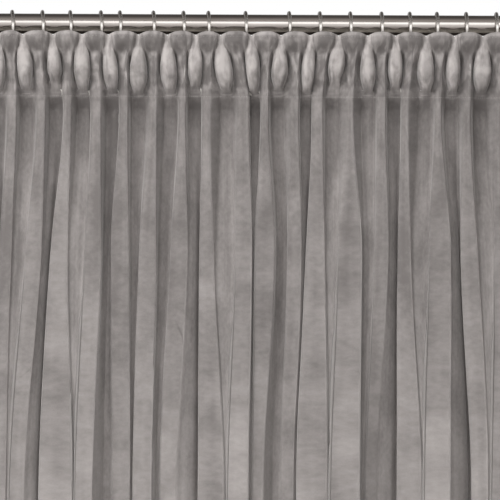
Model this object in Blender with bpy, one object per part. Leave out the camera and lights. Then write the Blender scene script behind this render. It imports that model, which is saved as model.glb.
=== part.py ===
"""A velvet curtain panel with a gathered heading, hung by rings and hooks from a steel pole.

Metres, +Z up. The pole's axis is the X axis, with the origin at the middle of its length. The
panel hangs in front of the pole, on the -Y side, and its tape, cords and hooks are behind it.
"""

import bisect
import math

import bmesh
import bpy

GAP = 0.0003  # air between pieces that touch
MERGE_DISTANCE = 0.00001
SMOOTH_ANGLE = math.radians(40)

POLE_LENGTH = 1.10
POLE_DIAMETER = 0.025
POLE_WALL = 0.0012
POLE_SIDES = 32

CAP_RIM = 0.0015  # how far an end cap stands out round the pole
CAP_THICKNESS = 0.008
CAP_PLUG_LENGTH = 0.018
CAP_CHAMFER = 0.001

RING_INNER_DIAMETER = 0.038
RING_WIRE = 0.0042
RING_STEPS = 16
RING_SIDES = 6
RING_TURN_FIRST = math.radians(9)  # how far the first and last rings are turned about Z
RING_TURN_LAST = math.radians(-2)
EYE_INNER_DIAMETER = 0.0048
EYE_WIRE = 0.0016
EYE_SINK = 0.0012  # how far the eye is set into the ring's wire
EYE_STEPS = 8
EYE_SIDES = 5

PLEAT_PITCH = 0.0348
PANEL_LEFT = -0.378  # x of the panel's left edge
# Each pinch between two pleats, as its distance from an even spacing, from the left edge to the right.
PINCH_SHIFTS = (
    0, 0, 0, -0.0045, -0.0025, -0.002, -0.005, -0.003, -0.0025, -0.003, -0.007, -0.0045,
    -0.0035, -0.0025, -0.003, -0.0025, -0.003, -0.001, -0.001, -0.001, -0.0015, -0.001, 0,
)
# Each pleat's ring, as its distance from the pleat's middle. None is the pleat that has no ring.
RING_SHIFTS = (
    0.001, -0.001, 0.0005, 0.004, 0.002, 0.006, -0.005, 0, 0.002, 0, 0.0115, None,
    -0.0075, -0.005, -0.0025, 0.001, 0, -0.0025, -0.0015, 0.001, 0, 0.001,
)

CLOTH_THICKNESS = 0.0012
PANEL_DROP = 1.83  # from the heading's top edge to the hem
HEADING_ABOVE_EYE = 0.0242  # the heading's top edge over the middle of the rings' eyes
SCALLOP_DEPTH = 0.0115  # how far the top edge dips at a pinch
PINCH_WIDTH = 0.006
PLEAT_COLUMNS = (0, 0.1, 0.22, 0.5, 0.78, 0.9)  # places across one pleat
LEAST_ROW_STEP = 0.003  # between a sheet's scalloped top edge and the rows below it

HEADING_STAND_OFF = 0.0078  # from the rings' fronts to the pleats' crests at the top edge
TOP_PLEAT_DEPTH = 0.007
TOP_DROP = 0.016  # the heading stands upright down to here
HOOK_LEVEL_DROP = 0.030  # where the hooks' prongs reach up to
HOOK_LEVEL_CREST = -0.023
HOOK_LEVEL_PINCH = -0.0196
BEND_DROP = 0.047  # level with the hooks' lowest bends
BEND_PINCH = -0.0143
SEAM_CREST = -0.020
SEAM_PINCH = -0.004
SEAM_DROP = 0.080  # the heading's lower stitch line, below the top edge
FULL_DROP = 0.130  # where the pleats are deepest
FULL_CREST = -0.024
FULL_PINCH = 0.0
UPPER_DROP = 0.350
UPPER_CREST = -0.020
UPPER_PINCH = -0.004
UPPER_FOLD_DEPTH = 0.010
MIDDLE_DROP = 0.850
MIDDLE_CREST = -0.018
MIDDLE_PINCH = -0.008
MIDDLE_FOLD_DEPTH = 0.024
HEM_CREST = -0.017
HEM_PINCH = -0.009
FOLD_COUNT = 7  # broad folds into which the pleats merge towards the hem
HEM_FOLD_DEPTH = 0.027

TAPE_THICKNESS = 0.0008
TAPE_BELOW_EDGE = 0.003
CORD_DIAMETER = 0.0016
CORD_DROPS = (0.0185, 0.0740)  # the two draw cords, below the top edge
KNOT_DIAMETER = 0.0044
KNOT_SHOULDER = 0.8  # the knot's radius at its shoulders, as a share of its greatest
KNOT_SHOULDER_FROM = 0.3  # the shoulders' places along the knot, in knot radii
KNOT_SHOULDER_TO = 1.7
CORD_OVERHANG = 0.006
CORD_SIDES = 8

HOOK_WIRE = 0.0014
HOOK_REACH = 0.0215  # from the eye down to the hook's lowest bend
HOOK_PRONG = 0.014
HOOK_BACK = 0.004  # how far the hook's tip stands behind the eye
HOOK_TIP_DROP = 0.007  # the tip, below the wire's highest point
HOOK_NECK_DROP = 0.003
HOOK_CROWN_DROP = 0.0006  # how far the crown has fallen halfway to its ends
HOOK_FRONT_DROP = 0.004
HOOK_HALF_TURN = 0.0013  # the lowest bend's radius
HOOK_TURN_MIDDLE = 1.2  # the bend's lowest point in front of the prong, in its own radii
HOOK_TURN_FRONT = 3
HOOK_BEND_RISE = 0.002
PRONG_LEVELS = 4  # places along the prong held clear of the tape

POLE_RADIUS = POLE_DIAMETER / 2
RING_RADIUS = (RING_INNER_DIAMETER + RING_WIRE) / 2
RING_OUTER_RADIUS = RING_RADIUS + RING_WIRE / 2
RING_Z = POLE_RADIUS + GAP - RING_INNER_DIAMETER / 2
EYE_RADIUS = (EYE_INNER_DIAMETER + EYE_WIRE) / 2
EYE_Z = RING_Z - RING_OUTER_RADIUS + EYE_SINK - EYE_RADIUS - EYE_WIRE / 2
HEADING_TOP = EYE_Z + HEADING_ABOVE_EYE
TOP_CREST = -RING_OUTER_RADIUS - HEADING_STAND_OFF
PINCHES = [PANEL_LEFT + i * PLEAT_PITCH + shift for i, shift in enumerate(PINCH_SHIFTS)]

# The cloth's lie at each level: the drop below the top edge, y of the pleats' crests,
# y of the pinches between them, and the depth of the broad folds.
LEVELS = (
    (0.0, TOP_CREST, TOP_CREST + TOP_PLEAT_DEPTH, 0.0),
    (TOP_DROP, TOP_CREST, TOP_CREST + TOP_PLEAT_DEPTH, 0.0),
    (HOOK_LEVEL_DROP, HOOK_LEVEL_CREST, HOOK_LEVEL_PINCH, 0.0),
    (BEND_DROP, HOOK_LEVEL_CREST, BEND_PINCH, 0.0),
    (SEAM_DROP, SEAM_CREST, SEAM_PINCH, 0.0),
    (FULL_DROP, FULL_CREST, FULL_PINCH, 0.0),
    (UPPER_DROP, UPPER_CREST, UPPER_PINCH, UPPER_FOLD_DEPTH),
    (MIDDLE_DROP, MIDDLE_CREST, MIDDLE_PINCH, MIDDLE_FOLD_DEPTH),
    (PANEL_DROP, HEM_CREST, HEM_PINCH, HEM_FOLD_DEPTH),
)


def clear_scene():
    for thing in list(bpy.data.objects):
        bpy.data.objects.remove(thing, do_unlink=True)


def finish(name, colour, roughness, metallic=0.0):
    made = bpy.data.materials.new(name)
    made.use_nodes = True
    shader = made.node_tree.nodes["Principled BSDF"]
    shader.inputs["Base Color"].default_value = (*colour, 1)
    shader.inputs["Roughness"].default_value = roughness
    shader.inputs["Metallic"].default_value = metallic
    return made


def place(name, data, material, location=(0, 0, 0), turn=0.0):
    if not data.materials:
        data.materials.append(material)
    thing = bpy.data.objects.new(name, data)
    thing.location = location
    thing.rotation_euler.z = turn
    bpy.context.collection.objects.link(thing)
    return thing


def mesh_of(name, bm, smooth=True):
    bmesh.ops.recalc_face_normals(bm, faces=bm.faces)
    mesh = bpy.data.meshes.new(name)
    bm.to_mesh(mesh)
    bm.free()
    if smooth:
        mesh.shade_smooth()
        mesh.set_sharp_from_angle(angle=SMOOTH_ANGLE)
    return mesh


def turned(name, outline, sides, closed):
    """A shape turned about the X axis from (x, radius) points."""
    bm = bmesh.new()
    points = [bm.verts.new((x, 0, radius)) for x, radius in outline]
    pairs = list(zip(points, points[1:]))
    if closed:
        pairs.append((points[-1], points[0]))
    edges = [bm.edges.new(pair) for pair in pairs]
    bmesh.ops.spin(
        bm, geom=points + edges, axis=(1, 0, 0), cent=(0, 0, 0),
        angle=2 * math.pi, steps=sides, use_merge=True,
    )
    bmesh.ops.remove_doubles(bm, verts=bm.verts, dist=MERGE_DISTANCE)
    return mesh_of(name, bm)


def torus(name, radius, wire, steps, sides, axis):
    """A ring of round wire about an axis through the origin."""
    bm = bmesh.new()
    circle = []
    for k in range(sides):
        angle = 2 * math.pi * k / sides
        out, along = radius - wire / 2 * math.cos(angle), wire / 2 * math.sin(angle)
        circle.append(bm.verts.new((along, 0, out) if axis == "X" else (0, along, out)))
    edges = [bm.edges.new((a, b)) for a, b in zip(circle, circle[1:] + circle[:1])]
    bmesh.ops.spin(
        bm, geom=circle + edges, axis=(1, 0, 0) if axis == "X" else (0, 1, 0), cent=(0, 0, 0),
        angle=2 * math.pi, steps=steps, use_merge=True,
    )
    bmesh.ops.remove_doubles(bm, verts=bm.verts, dist=MERGE_DISTANCE)
    return mesh_of(name, bm)


def between(value, table, column):
    """A column of a table read at a value of its first column, in straight lines."""
    for low, high in zip(table, table[1:]):
        if value <= high[0]:
            share = max(0.0, (value - low[0]) / (high[0] - low[0]))
            return low[column] + share * (high[column] - low[column])
    return table[-1][column]


def columns():
    places = []
    for left, right in zip(PINCHES, PINCHES[1:]):
        places += [left + share * (right - left) for share in PLEAT_COLUMNS]
    return places + [PINCHES[-1]]


def pinched(x):
    """1 on a pinch, falling to 0 on the pleat between two of them, in straight lines between columns."""
    across = columns()
    right = min(max(bisect.bisect_left(across, x), 1), len(across) - 1)
    low, high = across[right - 1], across[right]
    at_low, at_high = (
        math.exp(-((min(abs(place - pinch) for pinch in PINCHES) / PINCH_WIDTH) ** 2))
        for place in (low, high)
    )
    return at_low + (x - low) / (high - low) * (at_high - at_low)


def edge_dip(x):
    return SCALLOP_DEPTH * pinched(x)


def cloth_y(x, z):
    """y of the panel's front face."""
    drop = HEADING_TOP - z
    crest = between(drop, LEVELS, 1)
    pinch = between(drop, LEVELS, 2)
    turns = FOLD_COUNT * (x - PINCHES[0]) / (PINCHES[-1] - PINCHES[0])
    fold = between(drop, LEVELS, 3) * math.sin(2 * math.pi * turns)
    return crest + (pinch - crest) * pinched(x) + fold


def tape_back(x, z):
    return cloth_y(x, z) + CLOTH_THICKNESS + GAP + TAPE_THICKNESS


def hung_sheet(name, drops, edge_drop, behind, thickness):
    """A pleated sheet of even depth in Y. Its top edge follows the scallops."""
    across = columns()
    bm = bmesh.new()
    bmesh.ops.create_grid(
        bm, x_segments=len(across) - 1, y_segments=len(drops) - 1, size=0.5
    )
    for vert in bm.verts:
        x = across[round((vert.co.x + 0.5) * (len(across) - 1))]
        row = round((0.5 - vert.co.y) * (len(drops) - 1))
        top = edge_drop + edge_dip(x)
        z = HEADING_TOP - (top if row == 0 else max(drops[row], top + LEAST_ROW_STEP * row))
        vert.co = (x, cloth_y(x, z) + behind, z)
    back = bmesh.ops.extrude_face_region(bm, geom=bm.faces[:])
    verts = [item for item in back["geom"] if isinstance(item, bmesh.types.BMVert)]
    bmesh.ops.translate(bm, verts=verts, vec=(0, thickness, 0))
    return mesh_of(name, bm)


def smooth_route(points, steps):
    """Points along a smooth curve through the given (y, z) points."""
    ends = [points[0]] + list(points) + [points[-1]]
    route = []
    for a, b, c, d in zip(ends, ends[1:], ends[2:], ends[3:]):
        for k in range(steps):
            t = k / steps
            route.append(tuple(
                0.5 * (2 * q + (r - p) * t + (2 * p - 5 * q + 4 * r - s) * t * t
                       + (3 * q - p - 3 * r + s) * t ** 3)
                for p, q, r, s in zip(a, b, c, d)
            ))
    return route + [points[-1]]


def hook_curve(name, x):
    """A wire hook over the eye's lower rim, its prong up behind the tape, in the plane of x."""
    over = EYE_Z - EYE_INNER_DIAMETER / 2 + HOOK_WIRE / 2 + GAP
    bend = EYE_Z - HOOK_REACH - HOOK_WIRE
    prong_top = bend + HOOK_PRONG
    prong_foot = bend + HOOK_BEND_RISE
    rise = (prong_top - prong_foot) / (PRONG_LEVELS - 1)
    levels = [prong_foot + k * rise for k in range(PRONG_LEVELS)]
    prong = max(tape_back(x, z) for z in levels) + 2 * GAP + HOOK_WIRE / 2
    points = [
        (HOOK_BACK, over - HOOK_TIP_DROP),
        (HOOK_BACK, over - HOOK_NECK_DROP),
        (HOOK_BACK / 2, over - HOOK_CROWN_DROP),
        (0, over),
        (-HOOK_BACK / 2, over - HOOK_CROWN_DROP),
        (-HOOK_BACK, over - HOOK_FRONT_DROP),
        (prong / 2, (over + bend) / 2),
        (prong + HOOK_TURN_FRONT * HOOK_HALF_TURN, prong_foot),
        (prong + HOOK_TURN_MIDDLE * HOOK_HALF_TURN, bend),
        (prong, prong_foot),
        (prong, prong_top),
    ]
    data = bpy.data.curves.new(name, "CURVE")
    data.dimensions = "3D"
    data.bevel_depth = HOOK_WIRE / 2
    data.bevel_resolution = 0
    data.use_fill_caps = True
    data.render_resolution_u = 0
    route = smooth_route(points, 2)
    spline = data.splines.new("POLY")
    spline.points.add(len(route) - 1)
    for point, (y, z) in zip(spline.points, route):
        point.co = (0, y, z, 1)
    return data


def make_pole(steel):
    half = POLE_LENGTH / 2
    inner = POLE_RADIUS - POLE_WALL
    tube = [(-half, inner), (-half, POLE_RADIUS), (half, POLE_RADIUS), (half, inner)]
    place("pole_tube", turned("pole_tube", tube, POLE_SIDES, True), steel)
    rim = POLE_RADIUS + CAP_RIM
    plug = inner - GAP
    face = CAP_THICKNESS + GAP
    outline = [
        (face, 0), (face, rim - CAP_CHAMFER), (face - CAP_CHAMFER, rim), (GAP, rim),
        (GAP, plug), (GAP - CAP_PLUG_LENGTH, plug), (GAP - CAP_PLUG_LENGTH, 0),
    ]
    cap = turned("pole_end_cap", outline, POLE_SIDES, False)
    place("pole_end_cap_right", cap, steel, (half, 0, 0))
    place("pole_end_cap_left", cap, steel, (-half, 0, 0), math.pi)


def ring_mesh():
    """A ring about the X axis, with a small eye across its foot, as one body."""
    ring = bpy.data.objects.new("ring_blank", torus(
        "ring_blank", RING_RADIUS, RING_WIRE, RING_STEPS, RING_SIDES, "X"))
    eye = bpy.data.objects.new("eye_blank", torus(
        "eye_blank", EYE_RADIUS, EYE_WIRE, EYE_STEPS, EYE_SIDES, "Y"))
    eye.location.z = EYE_Z - RING_Z
    for blank in (ring, eye):
        bpy.context.collection.objects.link(blank)
    union = ring.modifiers.new("eye", "BOOLEAN")
    union.operation = "UNION"
    union.object = eye
    bpy.context.view_layer.update()
    joined = bpy.data.meshes.new_from_object(
        ring.evaluated_get(bpy.context.evaluated_depsgraph_get()))
    joined.name = "ring"
    for blank in (ring, eye):
        bpy.data.objects.remove(blank, do_unlink=True)
    return joined


def make_rings_and_hooks(ring_steel, hook_steel):
    mesh = ring_mesh()
    places = [
        (left + right) / 2 + shift
        for left, right, shift in zip(PINCHES, PINCHES[1:], RING_SHIFTS)
        if shift is not None
    ]
    for i, x in enumerate(places):
        share = i / (len(places) - 1)
        turn = RING_TURN_FIRST + share * (RING_TURN_LAST - RING_TURN_FIRST)
        place(f"ring_{i + 1:02d}", mesh, ring_steel, (x, 0, RING_Z), turn)
        name = f"hook_{i + 1:02d}"
        place(name, hook_curve(name, x), hook_steel, (x, 0, 0))


def make_cords(cotton):
    start = PINCHES[0] - CORD_OVERHANG
    length = PINCHES[-1] - PINCHES[0] + 2 * CORD_OVERHANG
    cord, knot = CORD_DIAMETER / 2, KNOT_DIAMETER / 2
    shoulder = KNOT_SHOULDER * knot
    outline = [
        (0, 0), (KNOT_SHOULDER_FROM * knot, shoulder), (knot, knot),
        (KNOT_SHOULDER_TO * knot, shoulder), (2 * knot, cord),
    ]
    outline += [(length - x, radius) for x, radius in reversed(outline)]
    for level, drop in zip(("top", "bottom"), CORD_DROPS):
        z = HEADING_TOP - drop
        deepest = max(tape_back(x, z + side * cord) for x in PINCHES for side in (-1, 0, 1))
        mesh = turned(f"draw_cord_{level}", outline, CORD_SIDES, False)
        y = deepest + GAP + cord
        place(f"draw_cord_{level}", mesh, cotton, (start, y, z))


def make_panel(velvet, tape_cloth):
    sheet = hung_sheet("velvet_panel", [level[0] for level in LEVELS], 0, 0, CLOTH_THICKNESS)
    place("velvet_panel", sheet, velvet)
    drops = [drop for drop, *_ in LEVELS if drop <= SEAM_DROP]
    tape = hung_sheet(
        "heading_tape", drops, TAPE_BELOW_EDGE, CLOTH_THICKNESS + GAP, TAPE_THICKNESS)
    place("heading_tape", tape, tape_cloth)


def main():
    clear_scene()
    steel = finish("brushed_steel", (0.50, 0.48, 0.46), 0.34, 1.0)
    ring_steel = finish("satin_steel", (0.62, 0.60, 0.57), 0.25, 1.0)
    hook_steel = finish("hook_wire", (0.80, 0.79, 0.77), 0.30, 1.0)
    velvet = finish("grey_velvet", (0.27, 0.25, 0.245), 0.85)
    tape_cloth = finish("tape_cloth", (0.80, 0.79, 0.76), 0.9)
    cotton = finish("cord_cotton", (0.82, 0.81, 0.78), 0.9)
    make_pole(steel)
    make_rings_and_hooks(ring_steel, hook_steel)
    make_panel(velvet, tape_cloth)
    make_cords(cotton)


main()
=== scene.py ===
import math

import bmesh
import bpy
import numpy as np
from mathutils import Matrix, Vector, noise


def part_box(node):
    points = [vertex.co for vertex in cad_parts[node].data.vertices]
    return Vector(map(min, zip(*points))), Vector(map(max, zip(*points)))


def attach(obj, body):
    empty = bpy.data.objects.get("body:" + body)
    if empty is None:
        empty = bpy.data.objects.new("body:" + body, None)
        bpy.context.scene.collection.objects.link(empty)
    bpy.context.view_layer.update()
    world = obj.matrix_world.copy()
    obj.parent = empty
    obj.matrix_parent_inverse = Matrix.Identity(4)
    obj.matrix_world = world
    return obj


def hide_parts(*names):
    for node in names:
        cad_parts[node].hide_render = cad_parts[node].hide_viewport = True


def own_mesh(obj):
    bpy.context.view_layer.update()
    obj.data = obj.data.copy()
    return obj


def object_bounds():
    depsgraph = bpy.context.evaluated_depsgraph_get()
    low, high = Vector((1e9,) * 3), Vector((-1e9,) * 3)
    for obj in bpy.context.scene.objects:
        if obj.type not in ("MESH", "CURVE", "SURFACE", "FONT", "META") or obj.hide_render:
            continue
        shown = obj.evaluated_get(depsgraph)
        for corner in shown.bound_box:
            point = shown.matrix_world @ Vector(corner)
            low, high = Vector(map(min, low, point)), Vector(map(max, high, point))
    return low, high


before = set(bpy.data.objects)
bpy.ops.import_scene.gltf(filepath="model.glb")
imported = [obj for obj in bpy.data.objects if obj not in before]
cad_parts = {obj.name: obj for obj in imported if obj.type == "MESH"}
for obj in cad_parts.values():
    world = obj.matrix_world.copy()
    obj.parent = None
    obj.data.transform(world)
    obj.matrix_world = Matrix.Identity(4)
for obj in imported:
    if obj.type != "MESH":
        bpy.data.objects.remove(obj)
cadLow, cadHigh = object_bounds()
mm = 0.001
mergeDistance = 0.001 * mm
scene = bpy.context.scene


def placeMesh(name, mesh, materials, smooth=True):
    if smooth:
        mesh.shade_smooth()
    mesh.materials.clear()
    for material in materials:
        mesh.materials.append(material)
    thing = bpy.data.objects.new(name, mesh)
    scene.collection.objects.link(thing)
    return thing


def newObject(name, bm, materials, smooth=True):
    mesh = bpy.data.meshes.new(name)
    bm.to_mesh(mesh)
    bm.free()
    return placeMesh(name, mesh, materials, smooth)


def tube(name, points, radius, materials, sides=8, closed=False):  # a round wire or thread, as a mesh
    data = bpy.data.curves.new(name, "CURVE")
    data.dimensions = "3D"
    data.bevel_depth = radius
    data.bevel_resolution = (sides - 4) // 2
    data.use_fill_caps = not closed
    spline = data.splines.new("POLY")
    spline.points.add(len(points) - 1)
    for place, point in zip(spline.points, points):
        place.co = (*point, 1)
    spline.use_cyclic_u = closed
    guide = bpy.data.objects.new(name + "_guide", data)
    scene.collection.objects.link(guide)
    mesh = bpy.data.meshes.new_from_object(guide)
    bpy.data.objects.remove(guide)
    mesh.name = name
    return placeMesh(name, mesh, materials)


def smoothRoute(points, steps):  # points along a smooth curve through the given ones
    points = np.array(points, float)
    at = np.linspace(0, len(points) - 1, (len(points) - 1) * steps + 1)
    return through(points.T[:, None, :], at)[:, 0].T


def slopes(levels, values):  # gentle slopes at the levels, so a run between them never overshoots
    step = np.diff(levels)[:, None]
    rise = np.diff(values, axis=0) / step
    inner = np.zeros_like(values)
    low, high = rise[:-1], rise[1:]
    same = low * high > 0
    inner[1:-1][same] = 2 * low[same] * high[same] / (low[same] + high[same])
    inner[0], inner[-1] = rise[0], rise[-1]
    return inner


def glide(levels, values, at):  # rows of values read between levels, along smooth runs
    levels, values = np.asarray(levels, float), np.asarray(values, float)
    slope = slopes(levels, values)
    i = np.clip(np.searchsorted(levels, at, side="right") - 1, 0, len(levels) - 2)
    step = (levels[i + 1] - levels[i])[:, None]
    t = ((at - levels[i]) / (levels[i + 1] - levels[i]))[:, None]
    a, b, slopeA, slopeB = values[i], values[i + 1], slope[i] * step, slope[i + 1] * step
    return (a * (2 * t**3 - 3 * t**2 + 1) + slopeA * (t**3 - 2 * t**2 + t)
            + b * (3 * t**2 - 2 * t**3) + slopeB * (t**3 - t**2))


def through(points, at):  # a smooth curve through points on the last axis, read at index positions
    i = np.clip(np.floor(at).astype(int), 0, points.shape[-1] - 2)
    t = at - i
    last = points.shape[-1] - 1
    p0, p1 = points[..., np.maximum(i - 1, 0)], points[..., i]
    p2, p3 = points[..., i + 1], points[..., np.minimum(i + 2, last)]
    return 0.5 * (2 * p1 + (p2 - p0) * t + (2 * p0 - 5 * p1 + 4 * p2 - p3) * t**2
                  + (3 * p1 - p0 - 3 * p2 + p3) * t**3)


# Materials. Every pattern reads the piece's own "cloth" map in metres, or object coordinates on metal.

def nodeGroup(name, inputs, outputs):  # reads a Vector and the named values, and puts out values
    group = bpy.data.node_groups.new(name, "ShaderNodeTree")
    group.interface.new_socket("Vector", in_out="INPUT", socket_type="NodeSocketVector")
    for label, value in inputs.items():
        socket = group.interface.new_socket(label, in_out="INPUT", socket_type="NodeSocketFloat")
        socket.default_value = value
    for label in outputs:
        group.interface.new_socket(label, in_out="OUTPUT", socket_type="NodeSocketFloat")
    return group, group.nodes.new("NodeGroupInput"), group.nodes.new("NodeGroupOutput")


def addNode(tree, kind, inputs=None, **settings):  # an input is a socket to link from, or a value
    node = tree.nodes.new(kind)
    for key, value in settings.items():
        setattr(node, key, value)
    for key, value in (inputs or {}).items():
        if isinstance(value, bpy.types.NodeSocket):
            tree.links.new(value, node.inputs[key])
        else:
            node.inputs[key].default_value = value
    return node


def stretchedNoise(tree, vector, scale, detail=3.0, rough=0.55, distortion=0.0):
    mapping = addNode(tree, "ShaderNodeMapping", {"Vector": vector, "Scale": scale})
    return addNode(tree, "ShaderNodeTexNoise", {
        "Vector": mapping.outputs[0], "Scale": 1.0, "Detail": detail, "Roughness": rough,
        "Distortion": distortion}).outputs["Fac"]


def spread(tree, value, low, high, newLow=0.0, newHigh=1.0):
    return addNode(tree, "ShaderNodeMapRange", {
        "Value": value, "From Min": low, "From Max": high, "To Min": newLow, "To Max": newHigh}).outputs[0]


def combine(tree, operation, a, b=0.0, c=0.0):
    return addNode(tree, "ShaderNodeMath", {0: a, 1: b, 2: c}, operation=operation).outputs[0]


def blendColours(tree, share, a, b):
    return addNode(tree, "ShaderNodeMix", {0: share, 6: a, 7: b}, data_type="RGBA").outputs[2]


def makeNapGroup():  # how a brushed pile lies: broad patches, streaks down the cloth, mottling, fine grain
    group, given, result = nodeGroup("napLie", {"Patches": 1.0, "Grain": 1.0}, ("Shade", "Grain"))
    vector = given.outputs["Vector"]
    layers = (  # scale, detail, roughness, distortion, the noise's lowest and highest value, share
        ((34, 22, 34), 3.0, 0.6, 0.4, 0.32, 0.68, 0.32),  # blots
        ((120, 3, 120), 2.0, 0.5, 0.0, 0.3, 0.7, 0.22),  # streaks
        ((210, 160, 210), 2.0, 0.6, 0.0, 0.3, 0.7, 0.2),  # mottling
    )
    patches = spread(group, stretchedNoise(group, vector, (9, 5, 9), 4.0, 0.6, 0.6), 0.35, 0.68, -0.5, 0.5)
    shade = combine(group, "MULTIPLY", patches, given.outputs["Patches"])
    for scale, detail, rough, distortion, low, high, share in layers:
        layer = stretchedNoise(group, vector, scale, detail, rough, distortion)
        shade = combine(group, "ADD", shade, spread(group, layer, low, high, -share, share))
    grain = stretchedNoise(group, vector, (1500, 1500, 1500), 1.0, 0.5)
    grain = combine(group, "MULTIPLY", spread(group, grain, 0.3, 0.7, -0.5, 0.5), given.outputs["Grain"])
    group.links.new(shade, result.inputs["Shade"])
    group.links.new(grain, result.inputs["Grain"])
    return group


def makeWeaveGroup():  # a plain weave of crossing threads, at a chosen number of threads to the metre
    group, given, result = nodeGroup("plainWeave", {"Threads": 900.0}, ("Height",))
    split = addNode(group, "ShaderNodeSeparateXYZ", {"Vector": given.outputs["Vector"]})
    waves = []
    for way in (0, 1):  # warp and weft
        threads = combine(group, "MULTIPLY", split.outputs[way], given.outputs["Threads"])
        waves.append(combine(group, "SINE", combine(group, "MULTIPLY", threads, 2 * math.pi)))
    height = combine(group, "MULTIPLY_ADD", combine(group, "MULTIPLY", *waves), 0.5, 0.5)
    group.links.new(height, result.inputs["Height"])
    return group


def makeMetalGroup():  # brushing along one way, and faint smudges
    group, given, result = nodeGroup("brushing", {"Along": 14.0, "Round": 2600.0}, ("Streak", "Smudge"))
    scale = addNode(group, "ShaderNodeCombineXYZ", {
        "X": given.outputs["Along"], "Y": given.outputs["Round"], "Z": given.outputs["Round"]})
    stretched = addNode(group, "ShaderNodeVectorMath", {0: given.outputs["Vector"], 1: scale.outputs[0]},
                        operation="MULTIPLY")
    streak = addNode(group, "ShaderNodeTexNoise", {
        "Vector": stretched.outputs[0], "Scale": 1.0, "Detail": 4.0, "Roughness": 0.65}).outputs["Fac"]
    smudge = stretchedNoise(group, given.outputs["Vector"], (22, 60, 60), 3.0, 0.6, 0.3)
    group.links.new(streak, result.inputs["Streak"])
    group.links.new(smudge, result.inputs["Smudge"])
    return group


creaseColumns = ("Across", "Up", "Slant", "Half", "Width", "Depth")


def makeCreaseGroup():  # one short slanting line along a small crease: painted shade where Depth is below zero, a painted highlight where it is above
    group, given, result = nodeGroup("creaseShadeLine", dict.fromkeys(creaseColumns, 0.01), ("Shade",))
    given = given.outputs
    split = addNode(group, "ShaderNodeSeparateXYZ", {"Vector": given["Vector"]})
    up = combine(group, "SUBTRACT", split.outputs[1], given["Up"])
    middle = combine(group, "ADD", given["Across"], combine(group, "MULTIPLY", up, given["Slant"]))
    off = combine(group, "ABSOLUTE", combine(group, "SUBTRACT", split.outputs[0], middle))
    aside = combine(group, "DIVIDE", off, given["Width"])
    beside = combine(group, "MAXIMUM", combine(group, "SUBTRACT", 1.0, aside), 0.0)
    along = combine(group, "DIVIDE", combine(group, "ABSOLUTE", up), given["Half"])
    within = combine(group, "MAXIMUM", combine(group, "SUBTRACT", 1.0, along), 0.0)
    shade = combine(group, "MULTIPLY", combine(group, "MULTIPLY", beside, within), given["Depth"])
    group.links.new(shade, result.inputs["Shade"])
    return group


napLie, plainWeave, brushing = makeNapGroup(), makeWeaveGroup(), makeMetalGroup()
creaseShadeLine = makeCreaseGroup()


def startMaterial(name, roughness, metallic=0.0, **sockets):
    material = bpy.data.materials.new(name)
    material.use_nodes = True
    tree = material.node_tree
    shader = tree.nodes["Principled BSDF"]
    shader.inputs["Roughness"].default_value = roughness
    shader.inputs["Metallic"].default_value = metallic
    for key, value in sockets.items():
        shader.inputs[key.replace("_", " ")].default_value = value
    return material, tree, shader


def placeGroup(tree, group, inputs):
    return addNode(tree, "ShaderNodeGroup", inputs, node_tree=group)


def finish(tree, shader, colour, height, strength, distance):  # a surface's colour and its fine relief
    tree.links.new(colour, shader.inputs["Base Color"])
    bump = addNode(tree, "ShaderNodeBump", {"Height": height, "Strength": strength, "Distance": distance})
    tree.links.new(bump.outputs[0], shader.inputs["Normal"])


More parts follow.
